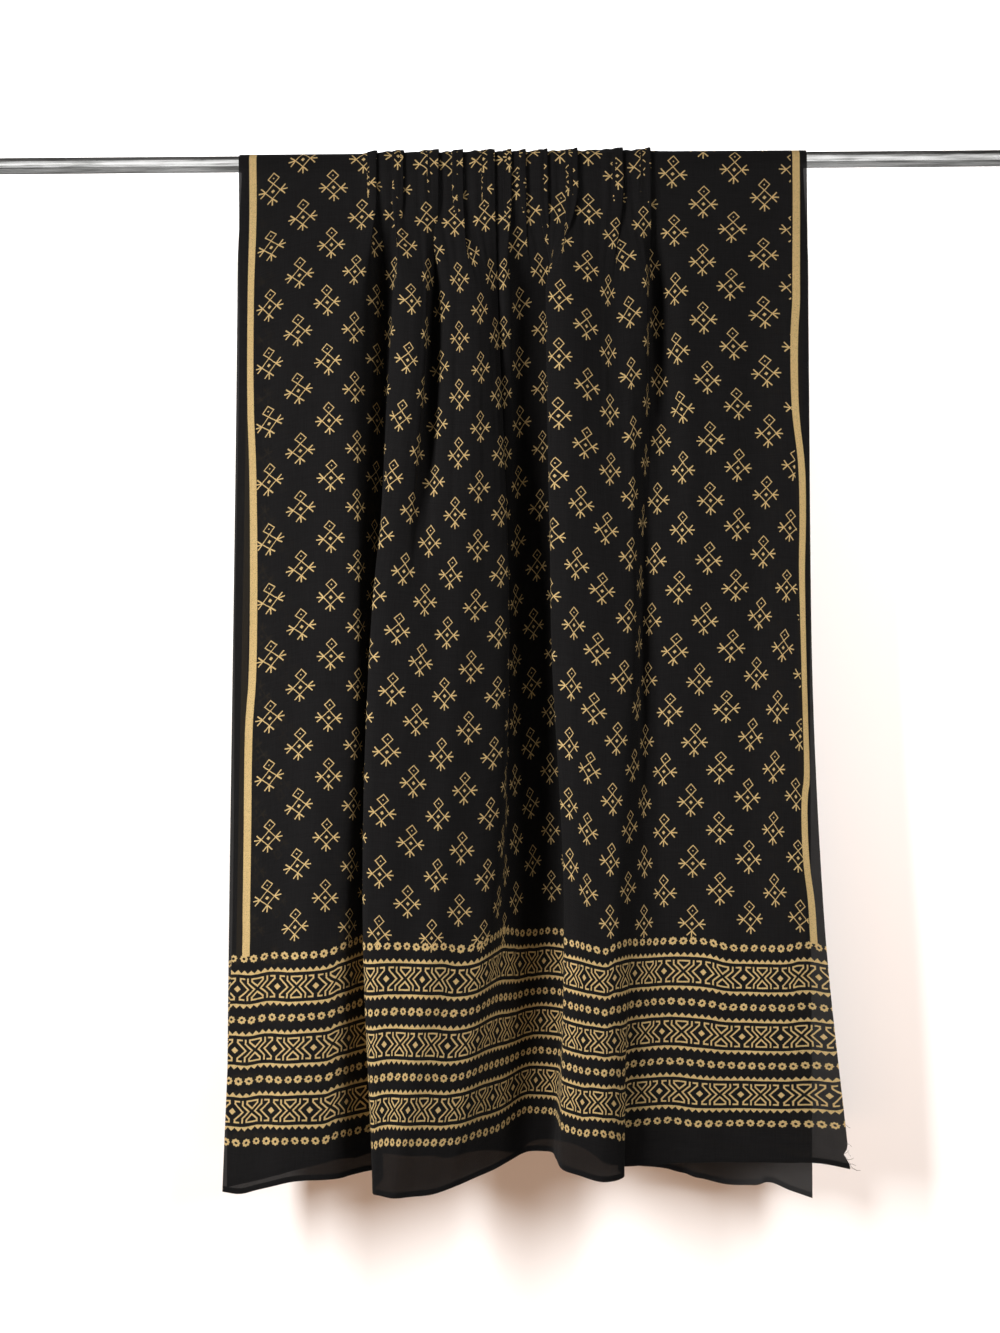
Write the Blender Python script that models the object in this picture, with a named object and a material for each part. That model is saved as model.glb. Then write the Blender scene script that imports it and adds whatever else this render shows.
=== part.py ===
"""A printed cotton dupatta hanging folded over a plain round steel rail.

Run with: blender --background --python part.py

The frame: +X runs along the rail, the front of the cloth faces -Y, +Z is up.
The origin is the centre of the rail's left end face. Lengths are in metres,
except in the two tables, which are in millimetres.
"""

import math

import bpy
import numpy as np

# ---- Rail: a plain round bar, cut square, with its end edges eased
RAIL_LENGTH = 1.36
RAIL_RADIUS = 0.0095
RAIL_END_EASE = 0.0008
RAIL_SIDES = 40

# ---- Cloth: one sheet, laid over the rail at about half its length
CLOTH_WIDTH = 1.067
CLOTH_THICKNESS = 0.0013
CLOTH_MIDDLE = RAIL_LENGTH / 2
RAIL_CLEARANCE = 0.0010
COLUMN_WIDTH = 0.0125
ARC_STEPS = 6
FRONT_ROWS = (0.02, 0.05, 0.09, 0.14, 0.21, 0.30, 0.41, 0.53, 0.65, 0.76, 0.86, 0.94, 1.0)
BACK_ROWS = (0.02, 0.06, 0.13, 0.25, 0.42, 0.60, 0.80, 1.0)

# ---- Small gathers where the cloth is bunched on the rail
GATHER_START = 0.148
GATHER_END = 0.893
GATHER_COUNT = 15
GATHER_HEIGHT = 0.0045
GATHER_SPREAD = 0.42
GATHER_FALL = 0.13

# ---- Where the cloth lies along the rail, from the rail's middle
# along: distance across the cloth from its left edge; x: place on the rail
ON_RAIL = (
    # along     x
    (0, -307),
    (148, -160),
    (893, 197),
    (1067, 371),
)

# ---- Folds of the front half, from the left edge to the right edge
# Each row is one line of cloth running down from the rail to the front hem.
# along: distance across the cloth; x and d: place from the rail's middle and
# distance in front of the rail's front side, at four heights; drop: length
# from the rail's axis to the hem.
FRONT_HEIGHTS = (0.0, 0.124, 0.455, 0.785, 1.0)
FRONT_FOLDS = (
    # name, along, x: high, mid, low, hem, d: high, mid, low, hem, drop
    ("left edge", 0, -307, -315, -320, -330, 8, 25, 38, 45, 1212),
    ("left panel", 80, -228, -235, -242, -254, 8, 27, 40, 46, 1206),
    ("left panel runs under", 148, -166, -169, -183, -197, 6, 12, 10, 10, 1208),
    ("under fold turns", 190, -137, -139, -145, -149, -1, 1, -6, -6, 1208),
    ("under fold returns", 205, -130, -136, -142, -146, 1, 9, 4, 4, 1208),
    ("first pleat edge", 252, -118, -149, -164, -152, 14, 34, 44, 50, 1211),
    ("first pleat shoulder", 295, -81, -114, -152, -146, 3, 42, 58, 62, 1213),
    ("first pleat crest", 365, -40, -55, -87, -112, 15, 48, 66, 72, 1212),
    ("first pleat falls away", 436, -12, 1, -28, -55, 10, 36, 44, 44, 1207),
    ("valley left lip", 476, 3, 13, -8, -23, 0, 13, 14, 10, 1207),
    ("valley left wall", 524, 21, 18, 6, -1, 6, -5, -8, -12, 1203),
    ("valley floor left", 581, 49, 42, 37, 31, -4, -13, -20, -24, 1191),
    ("valley floor right", 614, 60, 58, 59, 57, -1, -11, -18, -22, 1192),
    ("second pleat edge", 685, 79, 68, 71, 68, 10, 32, 36, 32, 1194),
    ("second pleat shoulder", 714, 108, 86, 85, 79, 14, 40, 48, 44, 1195),
    ("second pleat crest", 757, 145, 124, 120, 108, 14, 40, 54, 50, 1202),
    ("second pleat falls away", 795, 164, 156, 146, 132, 10, 30, 36, 30, 1208),
    ("ripple valley", 833, 186, 169, 169, 159, 4, 18, 18, 8, 1201),
    ("right panel starts", 876, 199, 194, 202, 199, -2, 14, 20, 2, 1199),
    ("right panel", 938, 249, 250, 260, 263, 6, 18, 28, 2, 1197),
    ("right panel outer", 1009, 317, 319, 329, 335, 8, 22, 34, 4, 1197),
    ("right edge", 1067, 370, 367, 383, 411, 8, 24, 36, 10, 1192),
)

# ---- The back half hangs in soft even folds
BACK_HEM_LEFT = -0.333
BACK_HEM_RIGHT = 0.370
BACK_FOLD_START = 0.10
BACK_FOLD_END = 0.98
BACK_FOLD_COUNT = 6
BACK_FOLD_DEPTH = 0.040
BACK_FOLD_SPREAD = 0.30
BACK_STAND_OFF = 0.016
# along and drop, as above
BACK_DROPS = (
    # along  drop
    (0, 1243),
    (110, 1224),
    (240, 1204),
    (420, 1196),
    (560, 1190),
    (760, 1222),
    (834, 1229),
    (890, 1244),
    (960, 1244),
    (1067, 1257),
)

COTTON = {"colour": (0.012, 0.011, 0.012, 1.0), "roughness": 0.85, "metallic": 0.0}
STEEL = {"colour": (0.62, 0.62, 0.63, 1.0), "roughness": 0.22, "metallic": 1.0}


def clear_scene():
    for obj in list(bpy.data.objects):
        bpy.data.objects.remove(obj, do_unlink=True)


def material(name, look):
    made = bpy.data.materials.new(name)
    made.use_nodes = True
    shader = made.node_tree.nodes["Principled BSDF"]
    shader.inputs["Base Color"].default_value = look["colour"]
    shader.inputs["Roughness"].default_value = look["roughness"]
    shader.inputs["Metallic"].default_value = look["metallic"]
    return made


def add_object(name, mesh, look):
    mesh.materials.append(material(name, look))
    obj = bpy.data.objects.new(name, mesh)
    bpy.context.scene.collection.objects.link(obj)
    return obj


def smooth_curve(knots, values, at):
    """Values of the smooth curve through (knots, values), at the points `at`."""
    knots = np.asarray(knots, dtype=float)
    values = np.asarray(values, dtype=float)
    slopes = np.gradient(values, knots)
    span = np.clip(np.searchsorted(knots, at, side="right") - 1, 0, len(knots) - 2)
    width = knots[span + 1] - knots[span]
    t = (at - knots[span]) / width
    start = (1 + 2 * t) * (1 - t) ** 2 * values[span] + t**2 * (3 - 2 * t) * values[span + 1]
    bend = t * (1 - t) ** 2 * slopes[span] - t**2 * (1 - t) * slopes[span + 1]
    return start + bend * width


def smooth_step(low, high, value):
    t = min(1.0, max(0.0, (value - low) / (high - low)))
    return t * t * (3 - 2 * t)


def columns_across():
    """Distances across the cloth: every fold line, with even steps between."""
    marks = [row[1] / 1000 for row in FRONT_FOLDS]
    along = [0.0]
    for left, right in zip(marks, marks[1:]):
        steps = max(2, round((right - left) / COLUMN_WIDTH))
        along.extend(left + (right - left) * step / steps for step in range(1, steps + 1))
    return np.array(along)


def on_rail(along):
    """Place along the rail of each column where the cloth crosses the rail."""
    places = [row[0] / 1000 for row in ON_RAIL]
    return np.interp(along, places, [row[1] / 1000 for row in ON_RAIL])


def gathers(along):
    """Height and sideways shift of the small gathers, for each column."""
    inside = (along > GATHER_START) & (along < GATHER_END)
    pitch = (GATHER_END - GATHER_START) / GATHER_COUNT
    turn = 2 * math.pi * (along - GATHER_START) / pitch
    height = np.where(inside, GATHER_HEIGHT * (1 - np.cos(turn)) / 2, 0.0)
    shift = np.where(inside, -GATHER_SPREAD * pitch / (2 * math.pi) * np.sin(turn), 0.0)
    return height, shift


def gather_left(fall):
    """Share of the gathers left at this distance below the rail."""
    return 1 - smooth_step(0.015, 2 * GATHER_FALL, fall)


def front_rows(along, rail_x, height, shift, radius):
    """Rows of points down the front half, from the rail to the front hem."""
    table = np.array([row[1:] for row in FRONT_FOLDS], dtype=float) / 1000
    marks = table[:, 0]
    x_at = [rail_x] + [smooth_curve(marks, table[:, i], along) for i in range(1, 5)]
    d_at = [np.zeros_like(along)] + [smooth_curve(marks, table[:, i], along) for i in range(5, 9)]
    drop = smooth_curve(marks, table[:, 9], along)
    rows = []
    for share in FRONT_ROWS:
        x = column_values(x_at, share)
        d = column_values(d_at, share)
        left = gather_left(share * drop.mean())
        x = x + shift * left
        y = -(radius + d + height * left)
        rows.append(np.stack([x, y, -share * drop], axis=1))
    return rows


def column_values(at_heights, share):
    """Each column's value at this share of its length, from its five heights."""
    stacked = np.array(at_heights)
    return np.array([
        smooth_curve(FRONT_HEIGHTS, stacked[:, i], np.array([share]))[0]
        for i in range(stacked.shape[1])
    ])


def rail_rows(rail_x, height, shift, radius):
    """Rows over the top of the rail, from the back side to the front side."""
    rows = []
    for step in range(ARC_STEPS + 1):
        angle = math.pi * step / ARC_STEPS
        reach = radius + height
        y = reach * math.cos(angle)
        z = reach * math.sin(angle)
        rows.append(np.stack([rail_x + shift, y, z], axis=1))
    return rows


def back_rows(along, rail_x, height, shift, radius):
    """Rows up the back half, from the back hem to the rail."""
    hem_x = BACK_HEM_LEFT + (BACK_HEM_RIGHT - BACK_HEM_LEFT) * along / CLOTH_WIDTH
    pitch = (BACK_FOLD_END - BACK_FOLD_START) / BACK_FOLD_COUNT
    turn = 2 * math.pi * (along - BACK_FOLD_START) / pitch
    inside = (along > BACK_FOLD_START) & (along < BACK_FOLD_END)
    bulge = np.where(inside, BACK_FOLD_DEPTH * (1 - np.cos(turn)) / 2, 0.0)
    sway = np.where(inside, -BACK_FOLD_SPREAD * pitch / (2 * math.pi) * np.sin(turn), 0.0)
    marks = [row[0] / 1000 for row in BACK_DROPS]
    drop = smooth_curve(marks, [row[1] / 1000 for row in BACK_DROPS], along)
    rows = []
    for share in reversed(BACK_ROWS):
        left = gather_left(share * drop.mean())
        opened = smooth_step(0.0, 1.0, share) * 0.4 + share * 0.6
        x = rail_x + (hem_x - rail_x) * opened + sway * opened + shift * left
        y = radius + BACK_STAND_OFF * opened + bulge * opened + height * left
        rows.append(np.stack([x, y, -share * drop], axis=1))
    return rows


def make_cloth():
    along = columns_across()
    rail_x = on_rail(along)
    height, shift = gathers(along)
    radius = RAIL_RADIUS + RAIL_CLEARANCE + CLOTH_THICKNESS / 2
    rows = back_rows(along, rail_x, height, shift, radius)
    rows += rail_rows(rail_x, height, shift, radius)
    rows += front_rows(along, rail_x, height, shift, radius)
    points = np.array(rows)
    points[:, :, 0] += CLOTH_MIDDLE
    count = len(along)
    faces = []
    for row in range(len(rows) - 1):
        for column in range(count - 1):
            corner = row * count + column
            faces.append((corner, corner + count, corner + count + 1, corner + 1))
    mesh = bpy.data.meshes.new("dupatta")
    mesh.from_pydata(points.reshape(-1, 3).tolist(), [], faces)
    mesh.shade_smooth()
    cloth = add_object("dupatta", mesh, COTTON)
    solid = cloth.modifiers.new("Thickness", "SOLIDIFY")
    solid.thickness = CLOTH_THICKNESS
    solid.offset = 0.0
    solid.use_even_offset = True
    solid.thickness_clamp = 0.0
    return cloth


def make_rail():
    """The bar's outline, from its left end to its right end, turned about X."""
    profile = (
        (0.0, 0.0),
        (0.0, RAIL_RADIUS - RAIL_END_EASE),
        (RAIL_END_EASE, RAIL_RADIUS),
        (RAIL_LENGTH - RAIL_END_EASE, RAIL_RADIUS),
        (RAIL_LENGTH, RAIL_RADIUS - RAIL_END_EASE),
        (RAIL_LENGTH, 0.0),
    )
    points = [(profile[0][0], 0.0, 0.0), (profile[-1][0], 0.0, 0.0)]
    rings = profile[1:-1]
    for x, reach in rings:
        for side in range(RAIL_SIDES):
            angle = 2 * math.pi * side / RAIL_SIDES
            points.append((x, reach * math.cos(angle), reach * math.sin(angle)))
    faces = []
    for side in range(RAIL_SIDES):
        after = (side + 1) % RAIL_SIDES
        faces.append((0, 2 + after, 2 + side))
        last = 2 + (len(rings) - 1) * RAIL_SIDES
        faces.append((1, last + side, last + after))
        for ring in range(len(rings) - 1):
            here = 2 + ring * RAIL_SIDES
            there = here + RAIL_SIDES
            faces.append((here + side, here + after, there + after, there + side))
    mesh = bpy.data.meshes.new("rail")
    mesh.from_pydata(points, [], faces)
    mesh.shade_smooth()
    mesh.set_sharp_from_angle(angle=math.radians(30))
    return add_object("rail", mesh, STEEL)


clear_scene()
make_rail()
make_cloth()
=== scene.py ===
"""The looks of the printed dupatta on its steel rail.

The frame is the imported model's: +X runs along the rail, the front of the
cloth faces -Y, +Z is up, and the origin is the centre of the rail's left end.
Lengths are in metres, but in the tables and in the print, which are drawn in
millimetres.
"""

import math

import bpy
import numpy as np
from mathutils import Matrix, Vector


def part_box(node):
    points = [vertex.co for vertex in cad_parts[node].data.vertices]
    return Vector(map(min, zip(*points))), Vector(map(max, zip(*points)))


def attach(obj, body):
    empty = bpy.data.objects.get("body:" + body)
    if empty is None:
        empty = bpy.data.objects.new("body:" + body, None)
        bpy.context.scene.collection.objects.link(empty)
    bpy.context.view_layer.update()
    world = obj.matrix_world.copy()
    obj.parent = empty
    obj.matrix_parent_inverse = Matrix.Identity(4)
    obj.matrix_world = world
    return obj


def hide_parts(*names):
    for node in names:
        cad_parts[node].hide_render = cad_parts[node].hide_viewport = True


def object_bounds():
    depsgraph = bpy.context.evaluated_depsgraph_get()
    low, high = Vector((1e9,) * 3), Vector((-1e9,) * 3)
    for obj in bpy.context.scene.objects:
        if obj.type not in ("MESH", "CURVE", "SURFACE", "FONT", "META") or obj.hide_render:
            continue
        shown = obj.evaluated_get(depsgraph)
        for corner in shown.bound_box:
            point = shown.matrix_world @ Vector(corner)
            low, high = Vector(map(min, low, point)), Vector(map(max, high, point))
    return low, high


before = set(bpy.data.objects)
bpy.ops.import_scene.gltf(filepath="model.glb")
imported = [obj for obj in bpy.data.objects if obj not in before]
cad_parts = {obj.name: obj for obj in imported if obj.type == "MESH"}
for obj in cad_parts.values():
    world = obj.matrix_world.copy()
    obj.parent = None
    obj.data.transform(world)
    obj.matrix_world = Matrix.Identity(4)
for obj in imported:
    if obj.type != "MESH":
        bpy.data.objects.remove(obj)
cad_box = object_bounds()

RAIL_LOW, RAIL_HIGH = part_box("rail")
RAIL_RADIUS = (RAIL_HIGH[2] - RAIL_LOW[2]) / 2
RAIL_MIDDLE = (RAIL_LOW[0] + RAIL_HIGH[0]) / 2

# ---- The cloth: its size when flat, and how it lies on the rail
CLOTH_WIDTH = 1.067
CLOTH_STAND_OFF = 0.00165
CLOTH_DROP = 1.20
ARC_STEPS = 14
HEM_TURN = 0.0065
HEM_GAP = 0.0005

# ---- The mesh: width of its columns and height of its rows
FLAT_COLUMN = 0.0060
FOLD_COLUMN = 0.0024
FOLDS_FROM = 0.148
FOLDS_TO = 0.893
ROW_STEPS = (
    # down to, step
    (0.05, 0.0042),
    (0.25, 0.0075),
    (0.60, 0.0120),
    (1.00, 0.0075),
    (1.14, 0.0100),
    (1.20, 0.0060),
)
BACK_ROW_STEPS = (
    # down to, step
    (0.05, 0.0060),
    (0.25, 0.0125),
    (1.15, 0.0300),
    (1.20, 0.0125),
)

# ---- The pleats that bunch the cloth on the rail, from left to right, in mm
# Each one's lip is at this distance from the rail's middle, and this length of
# cloth is tucked back under it and out again.
PLEATS = (
    # lip, tuck
    (-141, 15.0),
    (-109, 18.0),
    (-67, 21.0),
    (-38, 17.0),
    (0, 20.0),
    (20, 14.0),
    (37, 12.0),
    (63, 16.0),
    (99, 19.0),
    (153, 22.0),
    (186, 16.5),
)
PLEATED_RAIL = (
    # along     x
    (0, -307),
    (148, -160),
    (893, 197),
    (1067, 371),
)
PLEAT_HEIGHT = 3.4
PLEAT_LIP_LEAST = 0.6
PLEAT_TUCK_FOR_HEIGHT = 40
PLEAT_BACK_HEIGHT = 0.5
PLEAT_BACK_REACH = 0.93
PLEAT_FOOT_BESIDE = 0.4
PLEAT_FOOT_HEIGHT = 0.2
PLEATS_END_HEIGHT = 0.3
PLEAT_ROUNDING = 6.0
ROUNDING_STEPS = 9
ROUNDING_TAPER = 0.9
PUCKERS = (
    # length across, height, phase
    (17.0, 0.8, 1.3),
    (11.5, 0.6, 0.4),
    (43.0, 0.6, 2.2),
)
PUCKERS_RISE = (0.13, 0.20)
PUCKERS_FALL = (0.86, 0.91)

# ---- The front half at four levels, from the left edge to the right edge, in mm
# Each row is one line of cloth that runs down from the rail to the front hem.
# along: distance across the cloth; x: place from the rail's middle; d:
# distance in front of the rail's front side.
HIGH = (
    # along, x, d
    (0, -307, 3),
    (41, -271, 6),
    (77, -236, 9),
    (113, -201, 12),
    (149, -169, 16),
    (168, -155, 13),
    (185, -143, -3),
    (205, -135, -14),
    (222, -126, -8),
    (238, -120, 15),
    (258, -101, 22),
    (280, -87, 20),
    (294, -82, 17),
    (308, -78, 0),
    (318, -73, -6),
    (330, -66, 8),
    (366, -44, 17),
    (402, -20, 15),
    (436, -5, 10),
    (452, 1, 4),
    (470, -7, -1),
    (486, -8, -4),
    (500, 0, 1),
    (510, 7, 6),
    (524, 15, 5),
    (546, 26, -11),
    (582, 55, -14),
    (595, 62, -13),
    (605, 66, -11),
    (619, 68, -7),
    (632, 67, -3),
    (650, 63, 2),
    (668, 58, 7),
    (680, 64, 16),
    (694, 76, 21),
    (727, 107, 19),
    (745, 121, 16),
    (763, 131, 14),
    (782, 141, 13),
    (799, 155, 14),
    (822, 175, 15),
    (835, 179, 14),
    (850, 181, 4),
    (866, 186, -8),
    (884, 195, -7),
    (907, 210, 8),
    (943, 243, 12),
    (980, 278, 12),
    (1016, 316, 11),
    (1067, 369, 10),
)
MIDDLE = (
    # along, x, d
    (0, -313, 15),
    (41, -271, 19),
    (77, -233, 23),
    (113, -196, 27),
    (149, -164, 27),
    (168, -157, 14),
    (185, -150, 2),
    (205, -140, 1),
    (222, -138, 12),
    (238, -146, 31),
    (252, -149, 44),
    (265, -138, 49),
    (290, -115, 51),
    (326, -86, 50),
    (362, -56, 46),
    (398, -26, 41),
    (434, 4, 32),
    (450, 11, 26),
    (470, 10, 14),
    (500, 9, -4),
    (520, 14, -9),
    (544, 24, -16),
    (580, 51, -23),
    (605, 65, -19),
    (620, 68, -10),
    (650, 67, 4),
    (668, 61, 17),
    (680, 61, 32),
    (694, 75, 40),
    (718, 94, 43),
    (754, 127, 40),
    (789, 157, 32),
    (808, 164, 23),
    (824, 168, 16),
    (840, 173, 16),
    (860, 187, 20),
    (895, 219, 23),
    (931, 252, 24),
    (967, 287, 24),
    (1002, 317, 24),
    (1067, 367, 24),
)
LOW = (
    # along, x, d
    (0, -317, 28),
    (41, -275, 33),
    (75, -241, 38),
    (110, -207, 41),
    (144, -178, 36),
    (165, -169, 20),
    (185, -160, 3),
    (205, -149, -2),
    (222, -146, 9),
    (238, -154, 31),
    (250, -162, 46),
    (262, -158, 58),
    (281, -143, 64),
    (315, -110, 64),
    (350, -79, 60),
    (384, -51, 55),
    (418, -21, 46),
    (436, -11, 38),
    (453, -5, 25),
    (487, 3, 5),
    (521, 17, -9),
    (555, 37, -21),
    (590, 60, -27),
    (605, 71, -24),
    (620, 77, -17),
    (640, 79, -4),
    (668, 74, 14),
    (680, 73, 34),
    (693, 81, 44),
    (727, 99, 49),
    (761, 126, 47),
    (796, 147, 38),
    (830, 168, 25),
    (864, 191, 19),
    (898, 224, 22),
    (933, 257, 27),
    (967, 291, 31),
    (1001, 319, 33),
    (1036, 348, 34),
    (1067, 377, 35),
)
HEM = (
    # along, x, d
    (0, -330, 36),
    (80, -253, 44),
    (148, -190, 34),
    (168, -178, 17),
    (190, -156, -2),
    (205, -147, 2),
    (222, -143, 18),
    (238, -148, 38),
    (252, -152, 50),
    (268, -152, 62),
    (295, -143, 68),
    (365, -108, 66),
    (400, -82, 58),
    (436, -55, 45),
    (476, -25, 11),
    (500, -10, -4),
    (524, 2, -13),
    (581, 34, -24),
    (614, 56, -22),
    (650, 62, 4),
    (685, 68, 37),
    (714, 84, 46),
    (757, 117, 48),
    (782, 136, 41),
    (797, 141, 34),
    (809, 135, 20),
    (822, 139, 12),
    (835, 151, 10),
    (876, 193, 5),
    (938, 257, 2),
    (1009, 332, 4),
    (1067, 411, 10),
)
FRONT_LEVELS = (
    # share of the drop, lines
    (0.137, HIGH),
    (0.45, MIDDLE),
    (0.74, LOW),
    (1.0, HEM),
)
JUST_BELOW_RAIL = 0.03
PLEATS_OPEN_BELOW_RAIL = 1.25
FRONT_DROPS = (
    # along, length from the rail's axis to the hem, in mm
    (0, 1217),
    (22, 1219),
    (45, 1213),
    (80, 1204),
    (148, 1203),
    (205, 1206),
    (252, 1211),
    (295, 1213),
    (365, 1215),
    (400, 1215),
    (436, 1209),
    (476, 1207),
    (524, 1202),
    (581, 1190),
    (614, 1191),
    (685, 1194),
    (714, 1197),
    (757, 1205),
    (782, 1205),
    (797, 1203),
    (812, 1200),
    (835, 1199),
    (876, 1198),
    (938, 1198),
    (1009, 1198),
    (1040, 1199),
    (1067, 1205),
)

# ---- The notch worn into the right edge above the front hem
TORN_AT = 1.183
TORN_REACH = 0.006
TORN_DEPTH = 0.006
TORN_WIDE = 0.03

# ---- Threads frayed from the right edge above the front hem
THREADS = (
    # above the hem and length in mm, lean and curl in degrees
    (3.0, 13.0, -35.0, 40.0),
    (6.5, 8.0, 5.0, -50.0),
    (10.0, 15.0, -60.0, 35.0),
    (13.0, 9.0, -10.0, 60.0),
    (17.0, 12.0, -45.0, -30.0),
    (21.0, 7.0, 20.0, 45.0),
    (27.0, 9.0, -70.0, 20.0),
    (34.0, 6.0, -20.0, -40.0),
    (58.0, 7.0, -50.0, 30.0),
)
THREAD_RADIUS = 0.00022
THREAD_STEPS = 6
THREAD_SIDES = 3
THREAD_FORWARD = 0.15

# ---- The back half hangs in soft even folds
BACK_HEM_LEFT = -0.333
BACK_HEM_RIGHT = 0.370
BACK_WIDER = 0.014
BACK_WIDER_BELOW = 0.12
BACK_OPENS_SMOOTHLY = 0.4
BACK_FOLD_START = 0.10
BACK_FOLD_END = 0.98
BACK_FOLD_COUNT = 6
BACK_FOLD_DEPTH = 0.040
BACK_FOLD_SPREAD = 0.30
BACK_STAND_OFF = 0.016
BACK_PLEATS = (0.02, 0.16)
BACK_DROPS = (
    # along, length from the rail's axis to the hem, in mm
    (0, 1236),
    (55, 1228),
    (110, 1220),
    (160, 1222),
    (220, 1205),
    (260, 1198),
    (328, 1212),
    (375, 1202),
    (431, 1206),
    (505, 1202),
    (560, 1187),
    (620, 1196),
    (690, 1210),
    (763, 1227),
    (803, 1224),
    (840, 1224),
    (877, 1238),
    (914, 1250),
    (951, 1243),
    (985, 1235),
    (1025, 1245),
    (1067, 1255),
)

# ---- Slow waves in the hanging cloth, and the creases pressed into it, in mm
WAVES = (
    # length across, length down, height, phase
    (131, 1900, 1.3, 0.4),
    (83, 1400, 0.8, 2.1),
    (53, 900, 0.45, 4.0),
)
WAVES_GROW = (0.03, 0.25)
CREASES = (
    # from along, from fall, to along, to fall, depth, half width
    (300, 640, 470, 634, 1.0, 5.0),
    (262, 770, 345, 762, 0.9, 5.0),
    (320, 838, 440, 846, 1.5, 5.0),
    (262, 858, 420, 874, 1.3, 5.0),
    (262, 912, 395, 925, 0.8, 5.0),
    (690, 480, 775, 486, 0.8, 5.0),
    (688, 640, 770, 648, 1.0, 5.0),
    (690, 760, 800, 790, 1.2, 5.0),
    (690, 852, 760, 858, 1.2, 5.0),
    (830, 815, 905, 900, 1.2, 6.0),
    (850, 620, 1010, 640, 0.7, 6.0),
    (900, 930, 1040, 1010, 1.0, 7.0),
    (20, 690, 150, 700, 0.6, 6.0),
    (20, 905, 140, 890, 0.7, 6.0),
    (840, 1166, 985, 1194, 1.6, 7.0),
    (919, 1152, 1010, 1165, 1.2, 7.0),
    (20, 1120, 150, 1150, 0.9, 8.0),
)
CREASE_SWAY = 3.0
CREASE_SWAY_TURNS = 7.0
CREASE_END = 8.0
RIDGE_BELOW = 1.7
RIDGE_SHARE = 0.6

# ---- The print, in millimetres
ACROSS_SHRINK = 0.964
DIAGONAL = 0.707
OUTSIDE = 50.0

# ---- How a hand-held block strays: slowly along the cloth, and from spot to spot
SLOW_SIZE = 45.0
QUICK_SIZE = 5.0
STRAY_SLOW = 3.0
STRAY_QUICK = 0.8
COLUMN_STRAY = 2.0
BAND_STRAY_SLOW = 1.5
BAND_STRAY_QUICK = 0.6

# ---- The field: each second column is half a row lower
FIELD_COLUMN = 34.8
FIELD_FIRST = 41.0
FIELD_PITCH = 36.1
FIELD_PITCH_LESS = 1.8
FIELD_CLOSER_BELOW = 874.0
FIELD_CLOSER_OVER = 420.0
FIELD_ROW = 70.8
FIELD_TILT = 16.0
FIELD_TILT_ENDS = 0.6
FIELD_HEIGHT = 1210.0
FIELD_EDGE = 286.0
FIELD_LEFT = 24.0
FIELD_RIGHT = 19.5
MOTIF_STRAY = 2.0
MOTIF_TURN = 0.14
# These starts weren't chosen by hand. A measuring script fitted them to motif
# centres read off the photograph, and they are rounded to whole millimetres.
COLUMN_STARTS = (
    # column, distance of its rows from the front hem
    (0, 53),
    (1, 46),
    (2, 43),
    (3, 44),
    (5, 50),
    (6, 53),
    (7, 49),
    (8, 51),
    (9, 49),
    (10, 45),
    (11, 46),
    (14, 34),
    (18, 34),
    (19, 38),
    (20, 50),
    (21, 55),
    (22, 56),
    (23, 46),
    (24, 45),
    (25, 45),
    (26, 49),
    (27, 52),
    (28, 49),
    (29, 55),
)

# ---- The motif of the field
MOTIF_LARGE = 8.6
MOTIF_SMALL = 6.4
MOTIF_LINE = 0.50
MOTIF_DOT = 1.1
MOTIF_TOP_DOT = 0.2
MIDDLE_PRONG = 3.7
SIDE_PRONG = 3.6
PRONG_THICKER = 0.2
PRONGS_BELOW = 4.0
NO_PRONGS = 20.0

# ---- The border: three bands of hourglasses between saw edges and rings
BORDER_FIRST_BAND = 90.75
BORDER_PITCH = 71.5
BORDER_FROM = 48.5
BORDER_TO = 275.5
BORDER_LOW_ROW = 55.0
BORDER_HIGH_ROW = 269.5
# These rises weren't chosen by hand either. A measuring script worked them out
# from ring centres read off the photograph, rounded to whole millimetres. About
# half of them were changed afterwards.
BORDER_LOW_RISES = (
    # along, rise of the lowest row of rings
    (0, 3),
    (20, 4),
    (45, 1),
    (70, -5),
    (94, -8),
    (116, -9),
    (141, -3),
    (174, -4),
    (275, 1),
    (334, 8),
    (399, 5),
    (430, 0),
    (462, -2),
    (505, -5),
    (551, -2),
    (590, -6),
    (689, -5),
    (719, -5),
    (749, 1),
    (779, -5),
    (797, -7),
    (829, -3),
    (866, -2),
    (914, -7),
    (1024, -7),
    (1067, 4),
)
BORDER_HIGH_RISES = (
    # along, rise of the highest row of rings
    (0, 2),
    (20, 4),
    (59, -1),
    (94, -6),
    (130, 2),
    (154, 6),
    (266, 14),
    (320, 18),
    (362, 19),
    (390, 16),
    (461, 17),
    (505, 13),
    (531, 6),
    (551, 1),
    (578, -4),
    (607, -4),
    (685, -3),
    (732, -2),
    (752, -2),
    (778, 5),
    (803, 3),
    (825, 0),
    (859, -1),
    (909, -1),
    (955, -8),
    (1006, -8),
    (1031, -4),
    (1067, 1),
)

GLASS_REPEAT = 45.9
GLASS_FIRST = 30.5
GLASS_LINE = 0.92
GLASS_TOP = 12.2
GLASS_WIDE = 6.2
GLASS_WAIST = 3.2
CHEVRONS = (
    # foot, reach
    (3.5, 7.7),
    (10.6, 9.2),
)
CHEVRON_SLOPE = 0.74
HOOK_AT = 17.6
HOOK_HALF = 2.2
DIAMOND_AT = 22.95
DIAMOND_HALF = 1.8

SAW_FOOT = 17.2
SAW_TIP = 22.4
SAW_TOOTH = 7.65
SAW_HEIGHT = 3.9

RING_STEP = 11.7
RING_FIRST = 2.0
RING_RADIUS = 4.2
RING_HOLE = 1.6
RING_STRAY = 1.2
RING_UNEVEN = 0.8
RING_SCALLOPS = 8.0
RING_SCALLOP = 0.4

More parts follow.
